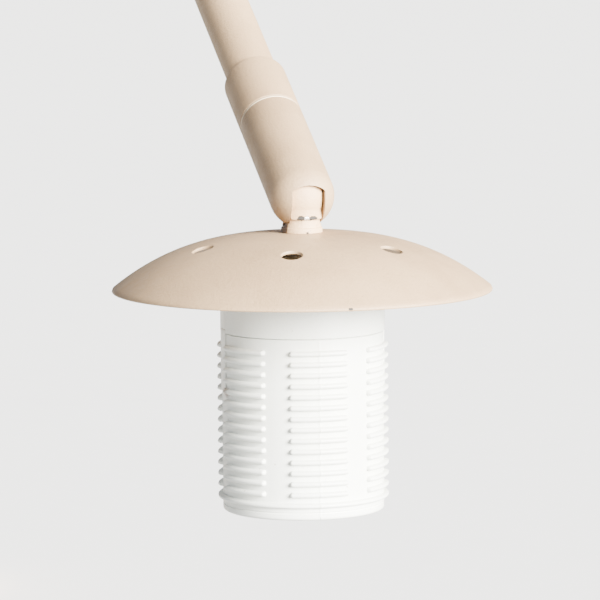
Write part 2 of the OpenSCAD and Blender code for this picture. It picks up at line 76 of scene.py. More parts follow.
# Mesh helpers
def filletLoop(points, steps=5):
    loop = []
    for i, point in enumerate(points):
        here = Vector(point[:2])
        radius = point[2] if len(point) > 2 else 0
        if not radius:
            loop.append(tuple(here))
            continue
        toBefore = (Vector(points[i - 1][:2]) - here).normalized()
        toAfter = (Vector(points[(i + 1) % len(points)][:2]) - here).normalized()
        half = toBefore.angle(toAfter) / 2
        centre = here + (toBefore + toAfter).normalized() * radius / sin(half)
        start = here + toBefore * radius / tan(half) - centre
        end = here + toAfter * radius / tan(half) - centre
        first = atan2(start.y, start.x)
        sweep = (atan2(end.y, end.x) - first + pi) % (2 * pi) - pi
        for k in range(steps + 1):
            angle = first + sweep * k / steps
            loop.append((centre.x + radius * cos(angle), centre.y + radius * sin(angle)))
    return loop


def arc(centre, radius, fromDegrees, toDegrees, steps):
    angles = [radians(fromDegrees + (toDegrees - fromDegrees) * k / steps) for k in range(steps + 1)]
    return [(centre[0] + radius * cos(a), centre[1] + radius * sin(a)) for a in angles]


def newObject(name, mesh):
    obj = bpy.data.objects.new(name, mesh)
    bpy.context.scene.collection.objects.link(obj)
    return obj


def fromBmesh(name, build):
    bmesh.ops.recalc_face_normals(build, faces=build.faces)
    mesh = bpy.data.meshes.new(name)
    build.to_mesh(mesh)
    build.free()
    return newObject(name, mesh)


def lathe(name, profile, segments=96, turn=None):
    build = bmesh.new()
    rings = []
    for r, z in profile:
        if r < 1e-6:
            rings.append([build.verts.new((0, 0, z * mm))])
            continue
        angles = [2 * pi * k / segments for k in range(segments)]
        rings.append([build.verts.new((r * mm * cos(a), r * mm * sin(a), z * mm)) for a in angles])
    for a, b in zip(rings, rings[1:] + rings[:1]):
        for k in range(segments):
            n = (k + 1) % segments
            if len(a) > 1 and len(b) > 1:
                build.faces.new((a[k], a[n], b[n], b[k]))
            elif len(b) > 1:
                build.faces.new((a[0], b[n], b[k]))
            elif len(a) > 1:
                build.faces.new((a[k], a[n], b[0]))
    if turn:
        build.transform(turn)
    return fromBmesh(name, build)


def rod(name, radius, start, end, segments=96, turn=None):
    return lathe(name, [(0, start), (radius, start), (radius, end), (0, end)], segments, turn)


def block(name, size):
    build = bmesh.new()
    bmesh.ops.create_cube(build, size=1, matrix=Matrix.Diagonal([s * mm for s in size] + [1]))
    return fromBmesh(name, build)


def prism(name, outline, half):
    build = bmesh.new()
    sides = [[build.verts.new((x * mm, y * mm, z * mm)) for x, z in outline] for y in (-half, half)]
    build.faces.new(sides[0])
    build.faces.new(sides[1][::-1])
    for k in range(len(outline)):
        n = (k + 1) % len(outline)
        build.faces.new((sides[0][k], sides[1][k], sides[1][n], sides[0][n]))
    return fromBmesh(name, build)


def settle(obj):
    graph = bpy.context.evaluated_depsgraph_get()
    old = obj.data
    obj.data = bpy.data.meshes.new_from_object(obj.evaluated_get(graph))
    obj.modifiers.clear()
    bpy.data.meshes.remove(old)
    return obj


def combine(obj, operation, *tools):
    for tool in tools:
        modifier = obj.modifiers.new("shape", "BOOLEAN")
        modifier.operation = operation
        modifier.solver = "EXACT"
        modifier.object = tool
        settle(obj)
        bpy.data.objects.remove(tool)
    return obj


def soften(obj, width, steps=2, angle=38):
    modifier = obj.modifiers.new("edges", "BEVEL")
    modifier.width = width * mm
    modifier.segments = steps
    modifier.limit_method = "ANGLE"
    modifier.angle_limit = radians(angle)
    modifier.use_clamp_overlap = False
    return settle(obj)


def shadeSmooth(obj, angle=32):
    obj.data.shade_smooth()
    obj.data.set_sharp_from_angle(angle=radians(angle))
    return obj


toY = Matrix.Rotation(radians(-90), 4, "X")
toMinusX = Matrix.Rotation(radians(-90), 4, "Y")


def piece(obj, name, place, body, material, nodes):
    obj.name = name
    shadeSmooth(obj)
    obj.data.materials.clear()
    obj.data.materials.append(material)
    obj.matrix_world = place
    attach(obj, body)
    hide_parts(*nodes)
    return obj


# Shader helpers
def feed(tree, socket, value):
    if isinstance(value, bpy.types.NodeSocket):
        tree.links.new(value, socket)
    elif socket.type == "RGBA":
        socket.default_value = (*value, 1)
    else:
        socket.default_value = value


def addNode(tree, kind, settings=None, **inputs):
    node = tree.nodes.new("ShaderNode" + kind)
    for name, value in (settings or {}).items():
        setattr(node, name, value)
    for name, value in inputs.items():
        feed(tree, node.inputs[name.replace("_", " ")], value)
    return node


def mathNode(tree, operation, a, b=0.5, clamp=False):
    node = addNode(tree, "Math", {"operation": operation, "use_clamp": clamp})
    feed(tree, node.inputs[0], a)
    feed(tree, node.inputs[1], b)
    return node.outputs[0]


def vectorNode(tree, operation, a, b=(0, 0, 0)):
    node = addNode(tree, "VectorMath", {"operation": operation})
    feed(tree, node.inputs[0], a)
    feed(tree, node.inputs[1], b)
    return node.outputs["Value" if operation in ("LENGTH", "DOT_PRODUCT") else "Vector"]


def mixColour(tree, factor, a, b, blend="MIX"):
    node = addNode(tree, "Mix", {"data_type": "RGBA", "blend_type": blend})
    feed(tree, node.inputs[0], factor)
    feed(tree, node.inputs[6], a)
    feed(tree, node.inputs[7], b)
    return node.outputs[2]


def mixValue(tree, factor, a, b):
    node = addNode(tree, "Mix")
    feed(tree, node.inputs[0], factor)
    feed(tree, node.inputs[2], a)
    feed(tree, node.inputs[3], b)
    return node.outputs[0]


def ramp(tree, value, low, high, toLow=0.0, toHigh=1.0):
    settings = {"interpolation_type": "SMOOTHSTEP"}
    node = addNode(tree, "MapRange", settings, Value=value)
    for name, number in (("From Min", low), ("From Max", high), ("To Min", toLow), ("To Max", toHigh)):
        feed(tree, node.inputs[name], number)
    return node.outputs[0]


def noise(tree, vector, scale, detail=3.0, roughness=0.5):
    node = addNode(tree, "TexNoise", Vector=vector, Scale=scale, Detail=detail, Roughness=roughness)
    return node.outputs[0]


def newGroup(name, inputs, outputs):
    group = bpy.data.node_groups.new(name, "ShaderNodeTree")
    for label, kind, value in inputs:
        socket = group.interface.new_socket(name=label, in_out="INPUT", socket_type="NodeSocket" + kind)
        if value is not None:
            socket.default_value = value
    for label, kind in outputs:
        group.interface.new_socket(name=label, in_out="OUTPUT", socket_type="NodeSocket" + kind)
    return group, group.nodes.new("NodeGroupInput").outputs, group.nodes.new("NodeGroupOutput").inputs


def useGroup(tree, group, **inputs):
    node = tree.nodes.new("ShaderNodeGroup")
    node.node_tree = group
    for name, value in inputs.items():
        feed(tree, node.inputs[name.replace("_", " ")], value)
    return node.outputs


# Shared effects
def toneGroup():
    group, given, out = newGroup(
        "toneVariation",
        [("Vector", "Vector", None), ("Base", "Color", (0.8, 0.8, 0.8, 1)),
         ("Tint", "Color", (0.7, 0.6, 0.5, 1)), ("Amount", "Float", 0.2), ("Scale", "Float", 25)],
        [("Color", "Color")])
    fineScale = mathNode(group, "MULTIPLY", given["Scale"], 50.0)
    cloud = ramp(group, noise(group, given["Vector"], given["Scale"], 4.0, 0.6), 0.35, 0.75)
    fine = ramp(group, noise(group, given["Vector"], fineScale, 3.0, 0.7), 0.45, 0.8)
    speck = mathNode(group, "MULTIPLY", fine, 1.1)
    amount = mathNode(group, "MULTIPLY", mathNode(group, "ADD", cloud, speck), given["Amount"], clamp=True)
    feed(group, out["Color"], mixColour(group, amount, given["Base"], given["Tint"]))
    return group


def grainGroup():
    group, given, out = newGroup(
        "surfaceGrain",
        [("Vector", "Vector", None), ("Peel Scale", "Float", 700), ("Grain Scale", "Float", 2600),
         ("Grain Share", "Float", 0.4)],
        [("Height", "Float")])
    peel = noise(group, given["Vector"], given["Peel Scale"], 2.0, 0.5)
    grain = noise(group, given["Vector"], given["Grain Scale"], 2.0, 0.7)
    feed(group, out["Height"], mixValue(group, given["Grain Share"], peel, grain))
    return group


# Edge mask: real wear on edges, and on paint also a painted highlight, as the lightened edges stand in for
# edges catching light
def wearAndHighlightGroup():
    group, given, out = newGroup(
        "wornEdgesAndHighlight",
        [("Vector", "Vector", None), ("Radius", "Float", 0.0006), ("Amount", "Float", 0.5),
         ("Scale", "Float", 300)],
        [("Mask", "Float")])
    rounded = addNode(group, "Bevel", {"samples": 4}, Radius=given["Radius"])
    flat = addNode(group, "NewGeometry")
    along = vectorNode(group, "DOT_PRODUCT", rounded.outputs[0], flat.outputs["Normal"])
    edge = ramp(group, along, 0.995, 0.86)
    breaks = noise(group, given["Vector"], given["Scale"], 4.0, 0.65)
    share = mathNode(group, "MULTIPLY", edge, ramp(group, breaks, 0.52, 0.68))
    feed(group, out["Mask"], mathNode(group, "MULTIPLY", share, given["Amount"], clamp=True))
    return group


def chipGroup():
    group, given, out = newGroup(
        "chipSpot",
        [("Vector", "Vector", None), ("Centre", "Vector", (0, 0, 0)),
         ("Reach", "Vector", (0.001, 0.001, 0.001)), ("Ragged", "Float", 0.8), ("Scale", "Float", 900)],
        [("Mask", "Float"), ("Stain", "Float")])
    away = vectorNode(group, "SUBTRACT", given["Vector"], given["Centre"])
    away = vectorNode(group, "DIVIDE", away, given["Reach"])
    jagged = noise(group, given["Vector"], given["Scale"], 3.0, 0.6)
    jitter = mathNode(group, "MULTIPLY", mathNode(group, "SUBTRACT", jagged, 0.5), given["Ragged"])
    distance = mathNode(group, "ADD", vectorNode(group, "LENGTH", away), jitter)
    feed(group, out["Mask"], ramp(group, distance, 1.02, 0.92))
    feed(group, out["Stain"], ramp(group, distance, 1.0, 0.2))
    return group


def speckGroup():
    group, given, out = newGroup(
        "grimeSpecks",
        [("Vector", "Vector", None), ("Scale", "Float", 500), ("Size", "Float", 0.16),
         ("Share", "Float", 0.3)],
        [("Mask", "Float")])
    cells = addNode(group, "TexVoronoi", Vector=given["Vector"], Scale=given["Scale"])
    dot = mathNode(group, "LESS_THAN", cells.outputs["Distance"], given["Size"])
    lot = addNode(group, "SeparateColor", Color=cells.outputs["Color"]).outputs[0]
    picked = mathNode(group, "LESS_THAN", lot, given["Share"])
    feed(group, out["Mask"], mathNode(group, "MULTIPLY", dot, picked))
    return group


def scratchGroup():
    group, given, out = newGroup(
        "fineScratches",
        [("Vector", "Vector", None), ("Stretch", "Vector", (1, 1, 12)), ("Scale", "Float", 260),
         ("Share", "Float", 0.4)],
        [("Mask", "Float")])
    drawn = vectorNode(group, "DIVIDE", given["Vector"], given["Stretch"])
    warp = addNode(group, "TexNoise", Vector=given["Vector"], Scale=40.0, Detail=2.0)
    sway = vectorNode(group, "MULTIPLY", warp.outputs["Color"], (0.002, 0.002, 0.002))
    bent = vectorNode(group, "ADD", drawn, sway)
    lines = noise(group, bent, given["Scale"], 6.0, 0.85)
    line = mathNode(group, "ABSOLUTE", mathNode(group, "SUBTRACT", lines, 0.5))
    area = noise(group, given["Vector"], 30.0, 2.0)
    marked = ramp(group, area, mathNode(group, "SUBTRACT", 0.75, given["Share"]), 0.8)
    feed(group, out["Mask"], mathNode(group, "MULTIPLY", ramp(group, line, 0.012, 0.0), marked))
    return group


groups = {
    "tone": toneGroup(), "grain": grainGroup(), "wearAndHighlight": wearAndHighlightGroup(),
    "chip": chipGroup(), "speck": speckGroup(), "scratch": scratchGroup(),
}


def toned(tree, vector, base, tint, amount, scale):
    return useGroup(tree, groups["tone"], Vector=vector, Base=base, Tint=tint, Amount=amount,
                    Scale=scale)["Color"]


def grained(tree, vector, peel, fine, share):
    return useGroup(tree, groups["grain"], Vector=vector, Peel_Scale=peel, Grain_Scale=fine,
                    Grain_Share=share)["Height"]


def wornAndLitEdges(tree, vector, radius, amount):
    return useGroup(tree, groups["wearAndHighlight"], Vector=vector, Radius=radius, Amount=amount)["Mask"]


def specked(tree, vector, scale, size, share):
    return useGroup(tree, groups["speck"], Vector=vector, Scale=scale, Size=size, Share=share)["Mask"]


def scratched(tree, vector, stretch, scale, share):
    return useGroup(tree, groups["scratch"], Vector=vector, Stretch=stretch, Scale=scale, Share=share)["Mask"]


def newMaterial(name):
    material = bpy.data.materials.new(name)
    material.use_nodes = True
    tree = material.node_tree
    tree.nodes.clear()
    output = addNode(tree, "OutputMaterial")
    shader = addNode(tree, "BsdfPrincipled")
    tree.links.new(shader.outputs[0], output.inputs["Surface"])
    return material, tree, shader


def localVector(tree):
    place = addNode(tree, "TexCoord").outputs["Object"]
    shift = vectorNode(tree, "MULTIPLY", addNode(tree, "ObjectInfo").outputs["Location"], (3.1, 2.3, 1.7))
    return place, vectorNode(tree, "ADD", place, shift)


def bumpNormal(tree, height, depth):
    return addNode(tree, "Bump", Strength=1.0, Distance=depth, Height=height).outputs[0]


def setShader(tree, shader, **inputs):
    for name, value in inputs.items():
        feed(tree, shader.inputs[name.replace("_", " ")], value)


# Materials
paint = {
    "colour": (0.40, 0.268, 0.150), "tint": (0.29, 0.185, 0.100), "variation": 0.55, "roughness": 0.46,
    # undercoat is the lighter edge colour: worn paint, and partly a painted highlight on edges
    "peel": 560, "depth": 0.00034, "wearAndHighlight": 0.22, "undercoatAndHighlight": (0.55, 0.45, 0.32),
    # flank is painted dark reflection: near-black for bare metal in the chips
    "bare": (0.80, 0.79, 0.77), "chipDarkReflection": (0.035, 0.03, 0.025), "grime": (0.20, 0.15, 0.10),
    # the next colour is painted shadow: dark brown for the neck's shaded left side
    "paintedShadow": (0.045, 0.028, 0.02),
}


def paintMaterial(name, chips=(), specks=0.0, scale=1.0, specksFrom=None, paintedLightGain=1.0, shadowSpot=None):
    material, tree, shader = newMaterial(name)
    place, vector = localVector(tree)
    # painted light: the gain makes a lighter copy of the same beige paint, for a better-lit part
    base, tint = [[c * paintedLightGain for c in paint[key]] for key in ("colour", "tint")]
    colour = toned(tree, vector, base, tint, paint["variation"], 22.0)
    peel = paint["peel"] * scale
    height = grained(tree, vector, peel, peel * 4.2, 0.55)
    # edges go lighter: partly real wear, partly painted highlight
    colour = mixColour(tree, wornAndLitEdges(tree, vector, 0.0005, paint["wearAndHighlight"]), colour, paint["undercoatAndHighlight"])
    if specks:
        dots = specked(tree, vector, 620.0, 0.2, specks)
        if specksFrom:
            depth = addNode(tree, "SeparateXYZ", Vector=place).outputs[2]
            dots = mathNode(tree, "MULTIPLY", dots, ramp(tree, depth, specksFrom[0] * mm, specksFrom[1] * mm))
        colour = mixColour(tree, mathNode(tree, "MULTIPLY", dots, 0.6), colour, paint["grime"])
    # painted shadow: a dark brown patch where the knuckle shades the neck's left side
    if shadowSpot:
        paintedShadow = useGroup(tree, groups["chip"], Vector=place, Centre=[c * mm for c in shadowSpot[0]],
                        Reach=[r * mm for r in shadowSpot[1]], Ragged=0.5, Scale=500.0)["Mask"]
        colour = mixColour(tree, mathNode(tree, "MULTIPLY", paintedShadow, 0.92), colour, paint["paintedShadow"])
    metal, heart = 0.0, 0.0
    for centre, reach, bright in chips:
        spot = useGroup(tree, groups["chip"], Vector=place, Centre=[c * mm for c in centre],
                        Reach=[r * mm for r in reach])["Mask"]
        metal = mathNode(tree, "MAXIMUM", metal, spot)
        heart = mathNode(tree, "MAXIMUM", heart, spot) if bright else heart
    middle = paint["roughness"]
    roughness = ramp(tree, noise(tree, vector, 90.0), 0.3, 0.7, middle - 0.05, middle + 0.07)
    if chips:
        # the chips are real wear; outside each bright heart they are near-black, a painted dark reflection of
        # bare metal
        bare = mixColour(tree, heart, paint["chipDarkReflection"], paint["bare"])
        colour = mixColour(tree, metal, colour, bare)
        roughness = mixValue(tree, metal, roughness, mixValue(tree, heart, 0.75, 0.3))
        height = mathNode(tree, "SUBTRACT", height, mathNode(tree, "MULTIPLY", metal, 1.6))
        setShader(tree, shader, Metallic=mathNode(tree, "MULTIPLY", heart, 0.85))
    setShader(tree, shader, Base_Color=colour, Roughness=roughness,
              Normal=bumpNormal(tree, height, paint["depth"]))
    return material


plastic = {
    "colour": (0.81, 0.83, 0.78), "tint": (0.70, 0.69, 0.58), "variation": 0.22, "roughness": 0.34,
    "stain": (0.22, 0.13, 0.07), "grime": (0.36, 0.30, 0.22),
}


def plasticMaterial(name, stained=False, aged=1.0):
    material, tree, shader = newMaterial(name)
    place, vector = localVector(tree)
    colour = toned(tree, vector, plastic["colour"], plastic["tint"], plastic["variation"] * aged, 16.0)
    scratches = scratched(tree, vector, (1, 1, 0.2), 170.0, 0.25)
    dots = mathNode(tree, "MULTIPLY", specked(tree, vector, 190.0, 0.09, 0.12), 0.45)
    colour = mixColour(tree, dots, colour, plastic["grime"])
    if stained:
        turn = radians(can["turn"] + 90) - 0.15
        middle = (can["radius"] * cos(turn), can["radius"] * sin(turn), can["fingerTo"])
        spot = useGroup(tree, groups["chip"], Vector=place, Centre=[c * mm for c in middle],
                        Reach=(0.0075, 0.0075, 0.0032), Ragged=1.1, Scale=420.0)
        colour = mixColour(tree, mathNode(tree, "MULTIPLY", spot["Stain"], 0.95), colour, plastic["stain"])
    grain = grained(tree, vector, 240.0, 2200.0, 0.2)
    height = mathNode(tree, "SUBTRACT", grain, mathNode(tree, "MULTIPLY", scratches, 0.5))
    middle = plastic["roughness"]
    roughness = ramp(tree, noise(tree, vector, 60.0, 4.0), 0.3, 0.75, middle - 0.05, middle + 0.12)
    setShader(tree, shader, Base_Color=colour, Roughness=roughness, Specular_IOR_Level=0.45,
              Normal=bumpNormal(tree, height, 0.00004))
    return material


def metalMaterial(name, colour, tint, roughness, stretch):
    material, tree, shader = newMaterial(name)
    vector = localVector(tree)[1]
    tone = toned(tree, vector, colour, tint, 0.3, 60.0)
    lines = scratched(tree, vector, stretch, 420.0, 0.5)
    tone = mixColour(tree, wornAndLitEdges(tree, vector, 0.0003, 0.5), tone, [min(1, c * 1.25) for c in colour])
    setShader(tree, shader, Base_Color=tone, Metallic=1.0,
              Roughness=mathNode(tree, "ADD", mathNode(tree, "MULTIPLY", lines, 0.15), roughness),
              Normal=bumpNormal(tree, lines, -0.00003))
    return material


def mattMaterial(name, colour, tint, roughness, peel, depth):
    material, tree, shader = newMaterial(name)
    vector = localVector(tree)[1]
    tone = toned(tree, vector, colour, tint, 0.35, 40.0)
    rubbed = wornAndLitEdges(tree, vector, 0.0004, 0.3)
    tone = mixColour(tree, rubbed, tone, [min(1, c * 1.6 + 0.05) for c in colour])
    rough = ramp(tree, noise(tree, vector, 120.0), 0.3, 0.7, roughness - 0.06, roughness + 0.08)
    setShader(tree, shader, Base_Color=tone, Roughness=rough,
              Normal=bumpNormal(tree, grained(tree, vector, peel, peel * 4, 0.5), depth))
    return material


# Each washer is in the paint's colour in the middle and cream along its two edges.
def washerMaterial(name):
    material, tree, shader = newMaterial(name)
    place, vector = localVector(tree)
    middle = (knuckle["length"] + swivel["washer"] / 2) * mm
    level = mathNode(tree, "ADD", addNode(tree, "SeparateXYZ", Vector=place).outputs[2], middle)
    rim = ramp(tree, mathNode(tree, "ABSOLUTE", level), 0.26 * mm, 0.4 * mm)
    cream = toned(tree, vector, (0.86, 0.74, 0.52), (0.62, 0.48, 0.30), 0.35, 60.0)
    tone = mixColour(tree, rim, paint["colour"], cream)
    tone = mixColour(tree, wornAndLitEdges(tree, vector, 0.0003, 0.4), tone, paint["undercoatAndHighlight"])
    setShader(tree, shader, Base_Color=tone,
              Roughness=ramp(tree, noise(tree, vector, 120.0), 0.3, 0.7, 0.3, 0.44),
              Normal=bumpNormal(tree, grained(tree, vector, 700.0, 2800.0, 0.5), 0.00003))
    return material


def glassMaterial(name):
    material, tree, shader = newMaterial(name)
    vector = localVector(tree)[1]
    tone = toned(tree, vector, (0.90, 0.89, 0.86), (0.82, 0.80, 0.76), 0.2, 30.0)
    dust = specked(tree, vector, 300.0, 0.12, 0.2)
    height = grained(tree, vector, 120.0, 900.0, 0.15)
    setShader(tree, shader, Base_Color=tone, Roughness=mixValue(tree, dust, 0.12, 0.5),
              Subsurface_Weight=0.3, Subsurface_Scale=0.004, Normal=bumpNormal(tree, height, 0.00002))
    return material


# real paint chips on the neck; the ones not marked bright are drawn near-black, as painted dark reflection of
# bare metal
neckChips = [
    ((-10.9, -3.1, 10.3), (2.8, 2.1, 1.5), False),
    ((-10.9, 2.6, 10.4), (2.8, 2.4, 1.3), False),
    ((-11.1, -0.4, 10.3), (2.8, 1.3, 1.4), True),
    ((-9.8, 0.1, 17.1), (0.9, 0.6, 0.45), False),
]
# where the painted shadow lies on the neck's left side, under the knuckle
neckPaintedShadow = ((-1.5, -10.5, 14.8), (5.5, 3.2, 4.6))
# the shade's rim chip is real wear, drawn near-black as painted dark reflection
rimChip = Matrix.Rotation(-squareTurn, 3, "Z") @ Vector((-90, -2, 44))
shadeChips = [(rimChip, (1.1, 1.1, 0.6), False)]

materials = {
    "paint": paintMaterial("beigePaint"),
    # painted light: the neck's beige is the same paint made 1.6 times lighter, as the neck is better lit
    "neckPaint": paintMaterial("beigePaintNeck", neckChips, 0.16, specksFrom=(12.5, 16.5), paintedLightGain=1.6,
                               shadowSpot=neckPaintedShadow),
    "shadePaint": paintMaterial("beigePaintShade", shadeChips),
    "basePaint": paintMaterial("beigePaintIron", scale=0.7),
    "cup": plasticMaterial("agedWhiteCup", aged=1.4),
    "holder": plasticMaterial("holderPlastic", aged=2.0),
    "steel": metalMaterial("steelParts", (0.55, 0.54, 0.52), (0.30, 0.28, 0.26), 0.32, (1, 12, 1)),
    "bulbMetal": metalMaterial("bulbMetal", (0.68, 0.67, 0.66), (0.45, 0.44, 0.43), 0.26, (1, 1, 0.1)),
    "brass": metalMaterial("brassParts", (0.72, 0.52, 0.24), (0.42, 0.28, 0.12), 0.3, (1, 1, 0.1)),
    "rubber": mattMaterial("rubberPad", (0.035, 0.034, 0.032), (0.07, 0.065, 0.06), 0.82, 900, 0.00012),
    "black": mattMaterial("blackPlastic", (0.022, 0.021, 0.02), (0.05, 0.048, 0.045), 0.42, 1100, 0.00004),
    "fibre": mattMaterial("fibreWasher", (0.16, 0.09, 0.05), (0.26, 0.16, 0.09), 0.75, 1400, 0.00008),
    "lead": mattMaterial("leadSheath", (0.72, 0.71, 0.68), (0.60, 0.58, 0.53), 0.5, 700, 0.00003),
    "ceramic": mattMaterial("ceramicBlock", (0.80, 0.78, 0.73), (0.66, 0.62, 0.55), 0.4, 500, 0.00004),
    "glass": glassMaterial("opalGlass"),
}
print("materials made")


# Knuckles
knuckle = {
    "radius": 15.5, "length": 61, "slot": 15.8, "pocket": 13.0, "arch": 11.4,
    "bendFrom": -4, "bendTo": 118, "edge": 0.5, "chamber": 7.9, "floor": 8, "bore": 6.05,
    "capRadius": 6.1, "capFrom": 13.6, "recessFrom": 10, "softened": 0.4,
}
swivel = {
    "washer": 1.4, "washerRadius": 15.35, "washerRound": 0.3,
    "collar": 35, "round": 2, "floor": 15, "spindle": 6,
}
arm = {"length": 480, "radius": 12.5, "wall": 1.5, "from": 25.5}
materials["washer"] = washerMaterial("creamNylon")


def slotTool():
    far = 60
    low, high = knuckle["bendFrom"], knuckle["bendTo"]
    directions = [radians(low + (high - low) * k / 3) for k in range(4)]
    reach = [far, 2 * far, 2 * far, far]
    fan = [(0, 0)] + [(r * sin(a), r * cos(a)) for r, a in zip(reach, directions)]
    tool = rod("slotTool", knuckle["pocket"], -20, 20, 144, toY)
    for bend in (low, high):
        turn = Matrix.Rotation(radians(bend), 4, "Y")
        combine(tool, "UNION", rod("archTool", knuckle["arch"], 0, far, 144, turn))
    combine(tool, "UNION", prism("fanTool", fan, 21))
    return combine(tool, "INTERSECT", block("slabTool", (500, knuckle["slot"], 500)))


def housingMesh():
    r, bottom = knuckle["radius"], -knuckle["length"]
    profile = filletLoop([(knuckle["bore"], bottom, 0.3), (r, bottom, knuckle["edge"]), (r, -0.01)], 4)
    profile += arc((0, 0), r, 1.5, 90, 48)
    profile[-1] = (0, r)
    profile += [(0, -6), (knuckle["chamber"], -6), (knuckle["chamber"], bottom + knuckle["floor"]),
                (knuckle["bore"], bottom + knuckle["floor"])]
    obj = lathe("housing", profile, 144)
    combine(obj, "DIFFERENCE", slotTool())
    recess = rod("recessTool", knuckle["capRadius"] + 0.1, knuckle["recessFrom"], 25, 96, toY)
    combine(obj, "DIFFERENCE", recess)
    return soften(obj, knuckle["softened"], 3)


def capMesh():
    r, cap = knuckle["radius"], knuckle["capRadius"]
    start = degrees(atan2(sqrt(r * r - cap * cap), cap))
    rim = r * sin(radians(start)) - 0.2
    profile = filletLoop([(0, knuckle["capFrom"]), (cap, knuckle["capFrom"], 0.2), (cap, rim)], 3)
    profile += arc((0, 0), r, start + 0.9, 90, 16)
    profile[-1] = (0, r)
    return lathe("cap", profile, 96, toY)


def collarMesh():
    top = -knuckle["length"] - swivel["washer"]
    bottom = top - swivel["collar"]
    socket = arm["radius"] + 0.02
    outer, spindle, floor = knuckle["radius"], swivel["spindle"], top - swivel["floor"]
    profile = filletLoop([(socket, bottom, 0.5), (outer, bottom, swivel["round"]),
                          (outer, top, knuckle["edge"]), (spindle, top, 0.3),
                          (spindle, floor), (socket, floor)], 6)
    return lathe("collar", profile, 144)


def washerMesh():
    top = -knuckle["length"] - 0.05
    low = -knuckle["length"] - swivel["washer"] + 0.02
    inner, outer, edge = swivel["spindle"], swivel["washerRadius"], swivel["washerRound"]
    profile = filletLoop([(inner, low), (outer, low, edge), (outer, top, edge), (inner, top)], 3)
    return lathe("washer", profile, 144)


knuckles = [
    ("shoulder", shoulderFrame, "shoulder", "base", "base_swivel_washer"),
    ("elbow", elbowFrame, "elbow", "lower_arm", "elbow_swivel_washer"),
    ("head", knuckleFrame, "head_knuckle", "upper_arm", "head_swivel_washer"),
]
shared = {"housing": housingMesh(), "cap": capMesh(), "collar": collarMesh(), "washer": washerMesh()}
for name, place, body, carrier, washerNode in knuckles:
    copies = {part: newObject(f"{name}_{part}", obj.data.copy()) for part, obj in shared.items()}
    for part in ("housing", "cap"):
        piece(copies[part], f"{name}{part.capitalize()}Skin", place, body, materials["paint"],
              [f"{name}_{part}"])
    piece(copies["washer"], f"{name}WasherSkin", place, carrier, materials["washer"],
          [washerNode])
    if name == "shoulder":
        bpy.data.objects.remove(copies["collar"])
    else:
        piece(copies["collar"], f"{name}CollarSkin", place, carrier, materials["paint"],
              [f"{name}_collar"])
for obj in shared.values():
    bpy.data.objects.remove(obj)
print("knuckles built")


# Necks and arms
neck = {
    "tongue": 12.7, "half": 7.4, "bar": 11.1, "barEnd": 10.8, "slim": 9.2,
    "headReach": 13.75, "armReach": 18.6, "lead": 6.4, "leadWay": 2.3, "inset": 0.03, "softened": 0.35,
}


def tongueMesh():
    half = neck["half"]
    tip = degrees(atan2(half, sqrt(neck["tongue"] ** 2 - half ** 2)))
    outline = [(0, -half)] + arc((0, 0), neck["tongue"], -tip, tip, 32) + [(0, half)]
    ballEnd = lathe("tongue", outline, 144, toY)
    bar = lathe("bar", filletLoop([(0, 0), (neck["bar"], 0), (neck["bar"], neck["barEnd"], 0.6),
                                   (0, neck["barEnd"])]), 144)
    combine(bar, "INTERSECT", block("flats", (60, 2 * (half - neck["inset"]), 60)))
    return combine(ballEnd, "UNION", bar)


def slimMesh(profile, reach):
    slim = lathe("slim", filletLoop([(0, 3), (neck["slim"], 3)] + profile), 144)
    for side in (-1, 1):
        spans = sorted((side * (neck["half"] - neck["inset"]), side * 20))
        combine(slim, "DIFFERENCE", rod("flat", reach, spans[0], spans[1], 144, toY))
    return slim


def neckPiece(name, place, body, profile, reach, material):
    obj = combine(tongueMesh(), "UNION", slimMesh(profile, reach))
    way = Matrix.Translation((neck["lead"] * mm, 0, 0))
    combine(obj, "DIFFERENCE", rod("leadWay", neck["leadWay"], -30, 12, 48, way))
    soften(obj, neck["softened"], 3, 50)
    return piece(obj, name + "Skin", place, body, material, [name])


flange = [(9.2, 15), (9.8, 15, 0.35), (9.8, 17.5, 0.2), (0, 17.5)]
shoulderStep = [(9.2, 21), (arm["radius"], 21, 0.9), (arm["radius"], arm["from"], 0.2), (0, arm["from"])]
neckPiece("head_neck", headFrame, "head", flange, neck["headReach"], materials["neckPaint"])
neckPiece("lower_neck", lowerFrame, "lower_arm", shoulderStep, neck["armReach"], materials["paint"])
neckPiece("upper_neck", upperFrame, "upper_arm", shoulderStep, neck["armReach"], materials["paint"])


def tubePiece(name, place, body):
    start = arm["from"] + 0.02
    end = arm["length"] - knuckle["length"] - swivel["washer"] - swivel["floor"] - 0.02
    outer = arm["radius"]
    inner = outer - arm["wall"]
    profile = filletLoop([(inner, start), (outer, start, 0.25), (outer, end, 0.25), (inner, end)], 3)
    tube = lathe(name, profile, 128)
    return piece(tube, name + "Skin", place, body, materials["paint"], [name])


tubePiece("lower_tube", lowerFrame, "lower_arm")
tubePiece("upper_tube", upperFrame, "upper_arm")
print("arms built")


# Base
base = {
    "radius": 115, "pad": 2.5, "top": 24.5, "round": 5, "collarTop": 34.5, "switchX": -62,
    "bezel": 11, "button": 7, "buttonTop": 30.5, "buttonFoot": 23, "inlet": 13.5,
}
gland = {"bore": 3.6, "shank": 4.5, "depth": 12, "nut": 8, "nutLength": 4, "sleeve": 5.8, "reach": 14}


